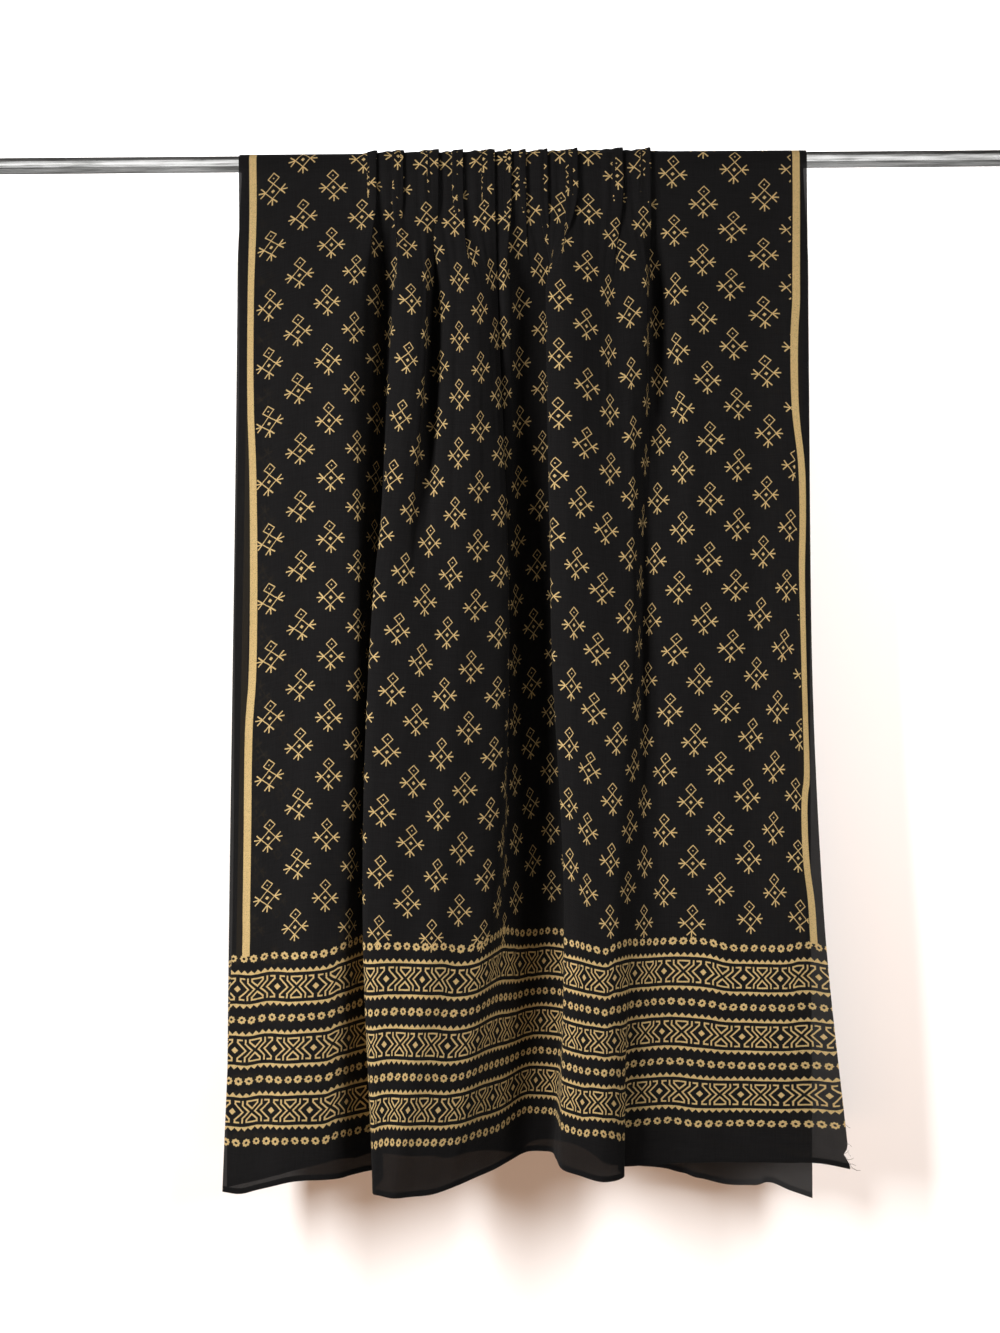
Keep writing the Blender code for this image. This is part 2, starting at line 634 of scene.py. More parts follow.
# ---- The two side stripes
# Their places were worked out from edges that a measuring script found in the
# photograph.
STRIPE_HALF = 4.3
STRIPE_OVERLAP = 3.0
LEFT_STRIPE = (
    # from the front hem, from the left edge
    (0, 18),
    (304, 16.5),
    (339, 16),
    (397, 16),
    (470, 16),
    (572, 18.5),
    (690, 21.5),
    (925, 17),
    (1043, 16),
    (1160, 17),
    (2500, 17.2),
)
RIGHT_STRIPE = (
    # from the front hem, from the right edge
    (0, 14.5),
    (304, 14.5),
    (397, 20),
    (455, 16),
    (502, 13.5),
    (690, 13.5),
    (807, 10.5),
    (925, 18),
    (1043, 13.6),
    (1160, 13),
    (2500, 13.8),
)

# ---- The cloth's colours and weave
BLACK_LOW = (0.0061, 0.0054, 0.0054)
BLACK_HIGH = (0.0118, 0.0106, 0.0106)
BLACK_PAINTED_LIGHT = (0.056, 0.053, 0.052)
GOLD_LOW = (0.74, 0.50, 0.20)
GOLD_HIGH = (0.90, 0.65, 0.30)
COTTON_ROUGHNESS = 0.85
COTTON_SHEEN = 0.03
COTTON_SHEEN_ROUGHNESS = 0.5
COTTON_SPECULAR = 0.15
COVER = 0.974
COVER_UNEVEN = 0.03
COVER_MORE = 0.03
INK_COVER = 0.6
HEM_COVER = 0.5
THREAD = 0.42
WEAVE_SHARE = 0.3
SLUB_SHARE = 1.5
RELIEF = 0.00012

# ---- Uneven yarn, ink and wear
GRAIN_SIZE = 0.9
CLOUD_SIZE = 120.0
SLUB_SIZE = 3.0
SLUB_THIN = 6.0
SLUB_LONG = 0.12
INK_SHARPNESS = 2.6
INK_GRAIN = 1.3
INK_WORN_BELOW = 0.32
INK_WORN_SHARPNESS = 8.0
INK_LEAST = 0.4
BLACK_SLUB = 1.6
GOLD_CLOUDY = 0.6
GOLD_SLUB = 0.8
GOLD_TONE = 0.2

# ---- Painted light: the back half's right corner is painted paler, standing in for the light that falls on it there
PAINTED_LIGHT_FROM_LEFT = 700.0
PAINTED_LIGHT_FROM_LEFT_OVER = 260.0
PAINTED_LIGHT_FROM_BACK = 75.0
PAINTED_LIGHT_FROM_BACK_OVER = 30.0
PAINTED_LIGHT_CLOUDY = 0.6
PAINTED_LIGHT_SHARE = 0.5

# ---- The rail's steel
STEEL_DARK = (0.26, 0.26, 0.25)
STEEL_BRIGHT = (0.95, 0.95, 0.94)
STEEL_ROUGHNESS = 0.16
STEEL_ROUGHNESS_MORE = 0.20
STEEL_RELIEF = 0.00005
STEEL_STREAKS = (
    # scale along the rail, scale around it, detail, roughness, share of the tone
    (12.0, 900.0, 4.0, 0.6, 2.6),
    (22.0, 260.0, 3.0, 0.5, 2.0),
    (5.0, 40.0, 2.0, 0.5, 2.0),
)
STEEL_TONE = -2.8

# ---- Stage
WALL_GAP = 0.065
WALL_TOP = 2.0
STAGE_HALF = 4.0
FLOOR_BELOW = 0.36
STAGE_PALE = (0.84, 0.84, 0.84)
PLAIN_ROUGHNESS = 0.9
PLAIN_SPECULAR = 0.1

# ---- Lights
WHITE = (1.0, 1.0, 1.0)
WARM = (1.0, 0.60, 0.38)
WORLD_COLOUR = (1.0, 0.96, 0.93, 1.0)
WORLD_STRENGTH = 0.085
CLOTH_LIGHTS = (
    # name, aside, y, z, height of its aim, size, watts, spread, colour
    ("left", -2.4, -1.9, -0.1, -0.75, (1.2, 1.2), 12.8, 62.0, WHITE),
    ("right", 2.4, -1.9, -0.1, -0.75, (1.2, 1.2), 3.0, 62.0, WHITE),
    ("low", 0.0, -2.6, -1.45, -0.6, (3.0, 0.4), 2.6, 180.0, WHITE),
    ("behind", 0.0, 3.2, 1.0, -0.6, (2.6, 1.6), 40.0, 180.0, WHITE),
)
RAIL_LIGHTS = (
    # name, aside, y, z, height of its aim, size, watts, spread, colour
    ("gleam", 0.0, -2.4, 0.3, 0.0, (3.0, 4.4), 38.0, 180.0, WHITE),
)
WALL_LIGHTS = (
    # name, aside, y, z, height of its aim, size, watts, spread, colour
    ("wall_left", -2.0, -2.4, 1.0, 1.0, (0.5, 2.6), 230.0, 180.0, WHITE),
    ("wall_right", 1.3, -2.4, 1.0, 1.0, (0.5, 2.6), 125.0, 180.0, WHITE),
    ("warm", 0.0, -2.6, -1.6, -0.6, (3.0, 0.8), 58.0, 180.0, WARM),
)

# ---- Camera
CAMERA_BACK = 1.9
CAMERA_HEIGHT = -0.605
CAMERA_ROLL = math.radians(-0.46)
CAMERA_LENS = 42.76
SENSOR = 36.0


# ======================================================== shape of the cloth


def smooth_curve(knots, values, at, slopes=None):
    """Values of the smooth curve through (knots, values), at the points `at`."""
    knots = np.asarray(knots, dtype=float)
    values = np.asarray(values, dtype=float)
    if slopes is None:
        slopes = np.gradient(values, knots, axis=0)
    span = np.clip(np.searchsorted(knots, at, side="right") - 1, 0, len(knots) - 2)
    width = knots[span + 1] - knots[span]
    t = (at - knots[span]) / width
    if values.ndim == 2:
        t = t[:, None]
        width = width[:, None]
    start = (1 + 2 * t) * (1 - t) ** 2 * values[span] + t**2 * (3 - 2 * t) * values[span + 1]
    bend = t * (1 - t) ** 2 * slopes[span] - t**2 * (1 - t) * slopes[span + 1]
    return start + bend * width


def calm_slopes(knots, values):
    """Slopes at the knots that keep the curve between its neighbours' values."""
    values = np.asarray(values, dtype=float)
    slopes = np.gradient(values, knots, axis=0)
    rises = np.diff(values, axis=0) / np.diff(knots)[:, None]
    before, after = rises[:-1], rises[1:]
    most = 2 * np.minimum(abs(before), abs(after)) * (before * after > 0)
    slopes[1:-1] = np.clip(slopes[1:-1], -most, most)
    return slopes


def smooth_step(low, high, value):
    t = np.clip((value - low) / (high - low), 0.0, 1.0)
    return t * t * (3 - 2 * t)


def columns_across():
    """Distances across the cloth, closer together where it is folded."""
    along = []
    parts = (
        (0.0, FOLDS_FROM, FLAT_COLUMN),
        (FOLDS_FROM, FOLDS_TO, FOLD_COLUMN),
        (FOLDS_TO, CLOTH_WIDTH, FLAT_COLUMN),
    )
    for left, right, step in parts:
        along.extend(np.linspace(left, right, round((right - left) / step) + 1)[:-1])
    return np.array(along + [CLOTH_WIDTH])


def row_shares(steps):
    """Shares of the drop, from just below the rail to the hem."""
    falls = []
    reached = 0.0
    for down_to, step in steps:
        count = round((down_to - reached) / step)
        falls.extend(reached + (down_to - reached) * n / count for n in range(1, count + 1))
        reached = down_to
    return np.array(falls) / CLOTH_DROP


def rounded(along, knots, values, reach):
    """Straight runs between the knots, with their turns rounded off."""
    shares = np.linspace(-0.5, 0.5, ROUNDING_STEPS)
    weights = np.cos(shares * math.pi * ROUNDING_TAPER)
    total = 0.0
    for share, weight in zip(shares, weights):
        total = total + weight * np.interp(along + share * reach, knots, values)
    return total / weights.sum()


def pleated(along):
    """Where each column lies along the rail, and its height above the rail."""
    (start, start_x), (flat_from, flat_x), (flat_to, flat_to_x), (end, end_x) = PLEATED_RAIL
    tucked = 2 * sum(tuck for _, tuck in PLEATS)
    strips = flat_to_x - flat_x
    stretch = (flat_to - flat_from - tucked) / strips
    knots = [(start, start_x, 0.0), (flat_from, flat_x, 0.0)]
    reached = flat_from
    x = flat_x
    for lip, tuck in PLEATS:
        reached += (lip - x) * stretch
        x = lip
        lip_height = PLEAT_HEIGHT * (PLEAT_LIP_LEAST + tuck / PLEAT_TUCK_FOR_HEIGHT)
        knots.append((reached, lip, lip_height))
        back_height = PLEAT_HEIGHT * PLEAT_BACK_HEIGHT
        knots.append((reached + tuck, lip - tuck * PLEAT_BACK_REACH, back_height))
        reached += 2 * tuck
        knots.append((reached, lip + PLEAT_FOOT_BESIDE, PLEAT_FOOT_HEIGHT))
    knots += [(flat_to, flat_to_x, PLEATS_END_HEIGHT), (end, end_x, 0.0)]
    places, xs, heights = np.array(knots).T
    x = rounded(along * 1000, places, xs, PLEAT_ROUNDING)
    height = rounded(along * 1000, places, heights, PLEAT_ROUNDING)
    x[0] = start_x
    x[-1] = end_x
    gathered = smooth_step(*PUCKERS_RISE, along) * (1 - smooth_step(*PUCKERS_FALL, along))
    for length, size, phase in PUCKERS:
        height += gathered * size * (1 + np.sin(2 * math.pi * along * 1000 / length + phase)) / 2
    return x / 1000, height / 1000


def waves(along, fall):
    """Slow waves, in metres, that fade out at the rail."""
    height = np.zeros_like(along)
    for across_length, down_length, size, phase in WAVES:
        turn = along * 1000 / across_length + fall * 1000 / down_length
        height += size * np.sin(2 * math.pi * turn + phase)
    return height / 1000 * smooth_step(*WAVES_GROW, fall)


def creases(along, fall):
    """Depth, in metres, of the creases at each column. Each crease is a soft
    trough with a ridge just below it."""
    depth = np.zeros_like(along)
    for from_along, from_fall, to_along, to_fall, size, half_width in CREASES:
        t = np.clip((along * 1000 - from_along) / (to_along - from_along), 0.0, 1.0)
        beside = along * 1000 - (from_along + (to_along - from_along) * t)
        line = from_fall + (to_fall - from_fall) * t + CREASE_SWAY * np.sin(t * CREASE_SWAY_TURNS)
        below = fall * 1000 - line
        past_end = (beside / CREASE_END) ** 2
        trough = np.exp(-((below / half_width) ** 2 + past_end))
        ridge = np.exp(-((below / half_width - RIDGE_BELOW) ** 2 + past_end))
        depth += size * (trough - RIDGE_SHARE * ridge)
    return depth / 1000


def front_rows(along):
    """Rows of points down the front half, from the rail to the front hem."""
    rail_x, rail_height = pleated(along)
    shares = row_shares(ROW_STEPS)
    levels = [0.0, JUST_BELOW_RAIL]
    x_at = [rail_x, rail_x]
    d_at = [rail_height, rail_height * PLEATS_OPEN_BELOW_RAIL]
    for level, lines in FRONT_LEVELS:
        places, xs, ds = np.array(lines, dtype=float).T / 1000
        levels.append(level)
        x_at.append(smooth_curve(places, xs, along))
        d_at.append(smooth_curve(places, ds, along))
    x_rows = smooth_curve(levels, x_at, shares, calm_slopes(levels, x_at))
    d_rows = smooth_curve(levels, d_at, shares, calm_slopes(levels, d_at))
    places, drops = np.array(FRONT_DROPS, dtype=float).T / 1000
    drop = smooth_curve(places, drops, along)
    rows = []
    for share, x, d in zip(shares, x_rows, d_rows):
        fall = share * CLOTH_DROP
        forward = d + waves(along, fall) - creases(along, fall)
        torn = TORN_DEPTH * math.exp(-(((fall - TORN_AT) / TORN_REACH) ** 2))
        x = x - torn * smooth_step(CLOTH_WIDTH - TORN_WIDE, CLOTH_WIDTH, along)
        y = -(RAIL_RADIUS + CLOTH_STAND_OFF + forward)
        rows.append(np.stack([x, y, -share * drop], axis=1))
    return rows


def rail_rows(along):
    """Rows over the top of the rail, from the back side to the front side."""
    x, height = pleated(along)
    reach = RAIL_RADIUS + CLOTH_STAND_OFF + height
    rows = []
    for step in range(ARC_STEPS + 1):
        angle = math.pi * step / ARC_STEPS
        rows.append(np.stack([x, reach * math.cos(angle), reach * math.sin(angle)], axis=1))
    return rows


def back_rows(along):
    """Rows up the back half, from the back hem to the rail."""
    hem_x = BACK_HEM_LEFT + (BACK_HEM_RIGHT - BACK_HEM_LEFT) * along / CLOTH_WIDTH
    pitch = (BACK_FOLD_END - BACK_FOLD_START) / BACK_FOLD_COUNT
    turn = 2 * math.pi * (along - BACK_FOLD_START) / pitch
    inside = (along > BACK_FOLD_START) & (along < BACK_FOLD_END)
    bulge = np.where(inside, BACK_FOLD_DEPTH * (1 - np.cos(turn)) / 2, 0.0)
    sway = np.where(inside, -BACK_FOLD_SPREAD * pitch / (2 * math.pi) * np.sin(turn), 0.0)
    places, drops = np.array(BACK_DROPS, dtype=float).T / 1000
    drop = smooth_curve(places, drops, along)
    rail_x, height = pleated(along)
    even_x = np.interp(along, *(np.array(PLEATED_RAIL, dtype=float).T / 1000))
    rows = []
    for share in reversed(row_shares(BACK_ROW_STEPS)):
        fall = share * CLOTH_DROP
        opened = share + (smooth_step(0.0, 1.0, share) - share) * BACK_OPENS_SMOOTHLY
        tucked = 1 - smooth_step(*BACK_PLEATS, fall)
        x = even_x + (rail_x - even_x) * tucked + (hem_x - even_x + sway) * opened
        x = x * (1 + BACK_WIDER * smooth_step(0.0, BACK_WIDER_BELOW, fall))
        y = RAIL_RADIUS + CLOTH_STAND_OFF + (BACK_STAND_OFF + bulge) * opened + height * tucked
        rows.append(np.stack([x, y, -share * drop], axis=1))
    return rows


def turned_hem(rows):
    """Rows of the narrow hem, turned up on the inner side, from its top edge
    down to the cloth's end. `rows` starts at that end."""
    end, above = rows[0], rows[1]
    down = end - above
    down /= np.linalg.norm(down, axis=1)[:, None]
    across = np.gradient(end, axis=0)
    inward = np.cross(across, down)
    inward /= np.linalg.norm(inward, axis=1)[:, None]
    return [
        end - down * HEM_TURN + inward * HEM_GAP,
        end - down * HEM_TURN * 0.5 + inward * HEM_GAP,
        end + inward * HEM_GAP,
        end + inward * HEM_GAP * 0.5 + down * HEM_GAP * 0.5,
    ]


def length_from(rows):
    """Each point's distance along its column from the first row."""
    steps = np.linalg.norm(np.diff(rows, axis=0), axis=2)
    return np.concatenate([np.zeros((1, rows.shape[1])), np.cumsum(steps, axis=0)])


def make_cloth():
    """The whole cloth as one sheet, and the points of its right edge, each with
    its distance from the front hem."""
    along = columns_across()
    sheet = back_rows(along) + rail_rows(along) + front_rows(along)
    back_hem = turned_hem(sheet)
    front_hem = turned_hem(sheet[::-1])
    rows = np.array(back_hem + sheet + front_hem[::-1])
    turns = len(back_hem)
    from_back = length_from(rows)
    from_back -= from_back[turns]
    from_front = length_from(rows[::-1])[::-1]
    from_front = from_front - from_front[-1 - turns]
    rows[:, :, 0] += RAIL_MIDDLE
    places = np.stack([np.broadcast_to(along, from_front.shape), from_front, from_back], axis=2)
    corner = np.arange(rows.shape[0] * rows.shape[1]).reshape(rows.shape[:2])
    faces = np.stack([corner[:-1, :-1], corner[1:, :-1], corner[1:, 1:], corner[:-1, 1:]], axis=2)
    mesh = bpy.data.meshes.new("dupatta_cloth")
    mesh.from_pydata(rows.reshape(-1, 3), [], faces.reshape(-1, 4))
    cloth_place = mesh.attributes.new("cloth", "FLOAT_VECTOR", "POINT")
    cloth_place.data.foreach_set("vector", places.astype(np.float32).ravel())
    mesh.shade_smooth()
    mesh.materials.append(cotton())
    cloth = bpy.data.objects.new("dupatta_cloth", mesh)
    bpy.context.scene.collection.objects.link(cloth)
    right_edge = rows[turns:-turns, -1][::-1], from_front[turns:-turns, -1][::-1]
    return cloth, right_edge


def thread_rings(start, length, lean, curl):
    """The corners of one thread's tube, ring by ring along its arc."""
    here = start
    rings = []
    for step in range(THREAD_STEPS + 1):
        for side in range(THREAD_SIDES):
            around = 2 * math.pi * side / THREAD_SIDES
            rings.append(here + (0.0, math.cos(around) * THREAD_RADIUS, math.sin(around) * THREAD_RADIUS))
        angle = math.radians(lean + curl * step / THREAD_STEPS)
        reach = length / THREAD_STEPS
        here = here + (math.cos(angle) * reach, -THREAD_FORWARD * reach, math.sin(angle) * reach)
    return rings


def make_threads(right_edge, material):
    """Short loose threads along the cloth's right edge."""
    points, above_hem = right_edge
    verts = []
    faces = []
    for above, length, lean, curl in THREADS:
        start = np.array([np.interp(above / 1000, above_hem, points[:, axis]) for axis in range(3)])
        first = len(verts)
        verts += thread_rings(start, length / 1000, lean, curl)
        for step in range(THREAD_STEPS):
            low = first + THREAD_SIDES * step
            high = low + THREAD_SIDES
            for side in range(THREAD_SIDES):
                beside = (side + 1) % THREAD_SIDES
                faces.append((low + side, low + beside, high + beside, high + side))
    mesh = bpy.data.meshes.new("frayed_threads")
    mesh.from_pydata(verts, [], faces)
    mesh.materials.append(material)
    threads = bpy.data.objects.new("frayed_threads", mesh)
    bpy.context.scene.collection.objects.link(threads)
    return threads


# ================================================= arithmetic in the materials


class Number:
    """A number in a material's nodes. Arithmetic on it adds Math nodes."""

    def __init__(self, tree, socket):
        self.tree = tree
        self.socket = socket

    def math(self, operation, *terms, clamp=False):
        node = self.tree.nodes.new("ShaderNodeMath")
        node.operation = operation
        node.use_clamp = clamp
        for slot, term in zip(node.inputs, terms):
            if isinstance(term, Number):
                self.tree.links.new(term.socket, slot)
            else:
                slot.default_value = term
        return Number(self.tree, node.outputs[0])

    def __add__(self, other):
        return self.math("ADD", self, other)

    def __radd__(self, other):
        return self.math("ADD", other, self)

    def __sub__(self, other):
        return self.math("SUBTRACT", self, other)

    def __rsub__(self, other):
        return self.math("SUBTRACT", other, self)

    def __mul__(self, other):
        return self.math("MULTIPLY", self, other)

    def __rmul__(self, other):
        return self.math("MULTIPLY", other, self)

    def __rtruediv__(self, other):
        return self.math("DIVIDE", other, self)

    def __abs__(self):
        return self.math("ABSOLUTE", self)

    def __lt__(self, other):
        return self.math("LESS_THAN", self, other)

    def __gt__(self, other):
        return self.math("GREATER_THAN", self, other)

    def nearest(self, step, offset=0.0):
        """The nearest of the whole steps counted from the offset, as a count."""
        return self.math("ROUND", self.math("MULTIPLY_ADD", self, 1 / step, -offset / step))

    def clamped(self):
        return self.math("ADD", self, 0.0, clamp=True)

    def sine(self):
        return self.math("SINE", self)

    def cosine(self):
        return self.math("COSINE", self)


def smallest(first, *others):
    """The smallest; the first is a Number, the others may be plain."""
    for other in others:
        first = first.math("MINIMUM", first, other)
    return first


def largest(first, *others):
    """The largest; the first is a Number, the others may be plain."""
    for other in others:
        first = first.math("MAXIMUM", first, other)
    return first


def distance(x, y):
    return x.math("SQRT", x * x + y * y)


def where(test, yes, no):
    """yes where the test is 1, no where it is 0."""
    return (yes - no) * test + no


class Painter:
    """Adds the larger nodes of a material."""

    def __init__(self, material):
        material.use_nodes = True
        self.tree = material.node_tree
        self.shader = self.tree.nodes["Principled BSDF"]

    def number(self, socket):
        return Number(self.tree, socket)

    def attribute(self, name):
        """The three numbers of a mesh attribute."""
        node = self.tree.nodes.new("ShaderNodeAttribute")
        node.attribute_name = name
        return self.split(node.outputs["Vector"])

    def split(self, socket):
        node = self.tree.nodes.new("ShaderNodeSeparateXYZ")
        self.tree.links.new(socket, node.inputs[0])
        return [self.number(out) for out in node.outputs]

    def join(self, x, y, z=0.0):
        node = self.tree.nodes.new("ShaderNodeCombineXYZ")
        for slot, term in zip(node.inputs, (x, y, z)):
            if isinstance(term, Number):
                self.tree.links.new(term.socket, slot)
            else:
                slot.default_value = term
        return node.outputs[0]

    def noise(self, x, y, size, z=0.0, detail=2.0, rough=0.5):
        """Soft noise from 0 to 1, with lumps of about this size."""
        node = self.tree.nodes.new("ShaderNodeTexNoise")
        node.inputs["Scale"].default_value = 1 / size
        node.inputs["Detail"].default_value = detail
        node.inputs["Roughness"].default_value = rough
        self.tree.links.new(self.join(x, y, z), node.inputs["Vector"])
        return self.number(node.outputs["Fac"])

    def chance(self, x, y):
        """Three numbers from -0.5 to 0.5, the same for the same whole x and y."""
        node = self.tree.nodes.new("ShaderNodeTexWhiteNoise")
        self.tree.links.new(self.join(x, y), node.inputs["Vector"])
        return [part - 0.5 for part in self.split(node.outputs["Color"])]

    def mix(self, share, low, high):
        """A colour between low and high."""
        node = self.tree.nodes.new("ShaderNodeMix")
        node.data_type = "RGBA"
        self.tree.links.new(share.socket, node.inputs["Factor"])
        for slot, colour in ((node.inputs[6], low), (node.inputs[7], high)):
            if isinstance(colour, tuple):
                slot.default_value = (*colour, 1.0)
            else:
                self.tree.links.new(colour, slot)
        return node.outputs[2]

    def curve(self, at, points, smooth=True):
        """The value, at this place, of the curve through the (place, value) points."""
        places, values = zip(*points)
        low, high = min(values), max(values)
        start, end = places[0], places[-1]
        node = self.tree.nodes.new("ShaderNodeFloatCurve")
        line = node.mapping.curves[0]
        for _ in range(len(points) - 2):
            line.points.new(0.5, 0.5)
        for knot, (place, value) in zip(line.points, points):
            knot.location = ((place - start) / (end - start), (value - low) / (high - low))
            knot.handle_type = "AUTO_CLAMPED" if smooth else "VECTOR"
        node.mapping.update()
        share = (at - start) * (1 / (end - start))
        self.tree.links.new(share.clamped().socket, node.inputs["Value"])
        return self.number(node.outputs["Value"]) * (high - low) + low

    def bump(self, height, depth):
        node = self.tree.nodes.new("ShaderNodeBump")
        node.inputs["Distance"].default_value = depth
        self.tree.links.new(height.socket, node.inputs["Height"])
        return node.outputs["Normal"]

    def set(self, name, source):
        """Sets one of the shader's inputs to a plain number or a node's output."""
        if isinstance(source, float):
            self.shader.inputs[name].default_value = source
            return
        socket = source.socket if isinstance(source, Number) else source
        self.tree.links.new(socket, self.shader.inputs[name])


# ================================================================== the print


class Place:
    """Where a point of the cloth lies, in mm, and where it falls in a print
    whose blocks were set by hand, a little askew."""

    def __init__(self, paint):
        across, from_front, from_back = paint.attribute("cloth")
        self.across = across * 1000.0
        self.from_front = from_front * 1000.0
        self.from_back = from_back * 1000.0
        self.from_end = smallest(self.from_front, self.from_back)
        self.slow_x = self.stray(paint, SLOW_SIZE, 3.0)
        self.slow_y = self.stray(paint, SLOW_SIZE, 7.0)
        self.quick_x = self.stray(paint, QUICK_SIZE, 1.0)
        self.quick_y = self.stray(paint, QUICK_SIZE, 5.0)
        self.x = self.across * ACROSS_SHRINK + self.slow_x * STRAY_SLOW + self.quick_x * STRAY_QUICK
        self.y = self.from_front + self.slow_y * STRAY_SLOW + self.quick_y * STRAY_QUICK

    def stray(self, paint, size, layer):
        """Noise from -0.5 to 0.5, different in each layer."""
        return paint.noise(self.across, self.from_front, size, layer) - 0.5


def motif(x, y):
    """Depth inside the field's motif, in mm, positive on its lines: a small
    diamond on a large one, with three prongs at each of its free corners."""
    aside = abs(x)
    level = abs(y)
    side = abs(aside + level - MOTIF_LARGE) * DIAGONAL
    dot = (aside + level) * DIAGONAL - MOTIF_DOT

    top = abs(y - (MOTIF_LARGE + MOTIF_SMALL))
    top_side = abs(aside + top - MOTIF_SMALL) * DIAGONAL
    top_dot = (aside + top) * DIAGONAL - MOTIF_TOP_DOT

    below = (0.0 - y) > aside
    outward = where(below, level, aside) - MOTIF_LARGE
    beside = where(below, aside, level)
    middle_prong = largest(abs(outward - MIDDLE_PRONG) - MIDDLE_PRONG, beside)
    slanted = abs((outward + beside) * DIAGONAL - SIDE_PRONG) - SIDE_PRONG
    side_prong = largest(slanted, abs(outward - beside) * DIAGONAL)
    upper = (y > aside + PRONGS_BELOW) * NO_PRONGS
    prongs = smallest(middle_prong, side_prong) + upper - PRONG_THICKER
    return MOTIF_LINE - smallest(side, top_side, dot, top_dot, prongs)


def field_depth(paint, place):
    """Depth inside the field's motifs. Their columns are closer together near
    the border, and each column has its own start."""
    near_border = ((FIELD_CLOSER_BELOW - place.from_front) * (1 / FIELD_CLOSER_OVER)).clamped()
    closer = FIELD_COLUMN / (FIELD_PITCH - near_border * FIELD_PITCH_LESS)
    stray = place.slow_x * COLUMN_STRAY + place.quick_x * STRAY_QUICK
    x = (place.across - FIELD_FIRST) * closer + stray
    half_width = CLOTH_WIDTH * 500
    upward = (place.from_front * (1 / FIELD_HEIGHT)).clamped()
    tilt = (half_width - place.across) * (FIELD_TILT_ENDS - upward) * (FIELD_TILT / half_width)
    y = place.y - tilt

    # the nearest motif of the even columns, and of the odd ones
    pair = 2 * FIELD_COLUMN
    even_column = x.nearest(pair)
    odd_column = x.nearest(pair, FIELD_COLUMN)
    even_start = paint.curve(even_column * 2.0, COLUMN_STARTS, smooth=False)
    odd_start = paint.curve(odd_column * 2.0 + 1.0, COLUMN_STARTS, smooth=False) + FIELD_ROW / 2
    even_row = (y - even_start).nearest(FIELD_ROW)
    odd_row = (y - odd_start).nearest(FIELD_ROW)
    even_x = x - even_column * pair
    even_y = y - even_start - even_row * FIELD_ROW
    odd_x = x - odd_column * pair - FIELD_COLUMN
    odd_y = y - odd_start - odd_row * FIELD_ROW

    odd = (abs(even_x) * (1 / FIELD_COLUMN) + abs(even_y) * (2 / FIELD_ROW)) > 1.0
    column = where(odd, odd_column + 0.5, even_column)
    row = where(odd, odd_row + 0.5, even_row)
    astray_x, astray_y, turn = paint.chance(column, row)
    motif_x = where(odd, odd_x, even_x) + astray_x * MOTIF_STRAY
    motif_y = where(odd, odd_y, even_y) + astray_y * MOTIF_STRAY
    turn = turn * MOTIF_TURN
    depth = motif(motif_x + motif_y * turn, motif_y - motif_x * turn)

    in_height = (place.from_end - motif_y) > FIELD_EDGE
    in_width = (place.across > FIELD_LEFT) * (place.across < CLOTH_WIDTH * 1000 - FIELD_RIGHT)
    return depth - OUTSIDE * (1.0 - in_height * in_width)


def border_height(paint, place):
    """Height in the border, which is the same at both ends of the cloth. Its
    rows rise and fall unevenly."""
    low_rise = paint.curve(place.across, BORDER_LOW_RISES)
    high_rise = paint.curve(place.across, BORDER_HIGH_RISES)
    upward = (place.from_end - BORDER_LOW_ROW) * (1 / (BORDER_HIGH_ROW - BORDER_LOW_ROW))
    return place.from_end - low_rise - (high_rise - low_rise) * upward


def chevron(x, y, foot, reach):
    """Distance from a line that starts at foot, runs out at 45 degrees and
    then, from that reach, straight up."""
    slope = where(y < reach, CHEVRON_SLOPE, 1.0)
    return abs(x - foot - smallest(y, reach)) * slope


def hourglass_depth(x, y):
    """Depth inside the border's band of hourglasses: outline triangles point to
    point, a plain and a hooked chevron each side, and a diamond between."""
    past_top = y - GLASS_TOP
    triangle = abs(largest(past_top, x - GLASS_WIDE, (x - y + GLASS_WAIST) * DIAGONAL))
    chevrons = [largest(chevron(x, y, foot, reach), past_top) for foot, reach in CHEVRONS]
    hook = largest(abs(x - HOOK_AT) - HOOK_HALF, abs(past_top))
    diamond = (DIAMOND_AT - x + y) * DIAGONAL - DIAMOND_HALF
    return GLASS_LINE - smallest(triangle, *chevrons, hook, diamond)


def ring_depth(paint, place, level, band):
    """Depth inside the rows of scalloped rings, halfway between the bands."""
    count = place.x.nearest(RING_STEP, RING_FIRST)
    astray, _, size = paint.chance(count, band)
    x = place.x - count * RING_STEP - RING_FIRST + astray * RING_STRAY
    y = (BORDER_PITCH / 2) - level
    reach = distance(x, y)
    scallop = (x.math("ARCTAN2", y, x) * RING_SCALLOPS).cosine() * RING_SCALLOP
    radius = RING_RADIUS + scallop + size * RING_UNEVEN
    return smallest(radius - reach, reach - RING_HOLE)


def border_depth(paint, place, height):
    """Depth inside the border's bands, saw edges and rings."""
    band = height.nearest(BORDER_PITCH, BORDER_FIRST_BAND)
    stray = place.slow_y * BAND_STRAY_SLOW + place.quick_y * BAND_STRAY_QUICK
    level = abs(height + stray - band * BORDER_PITCH - BORDER_FIRST_BAND)
    glass_x = abs(place.x - place.x.nearest(GLASS_REPEAT, GLASS_FIRST) * GLASS_REPEAT - GLASS_FIRST)
    tooth_x = abs(place.x - place.x.nearest(SAW_TOOTH) * SAW_TOOTH)
    tooth = SAW_TIP - level - tooth_x * (SAW_HEIGHT / (SAW_TOOTH / 2))
    saw = smallest(level - SAW_FOOT, tooth)
    depth = largest(hourglass_depth(glass_x, level), saw, ring_depth(paint, place, level, band))
    in_border = (height > BORDER_FROM) * (height < BORDER_TO)
    return depth - OUTSIDE * (1.0 - in_border)


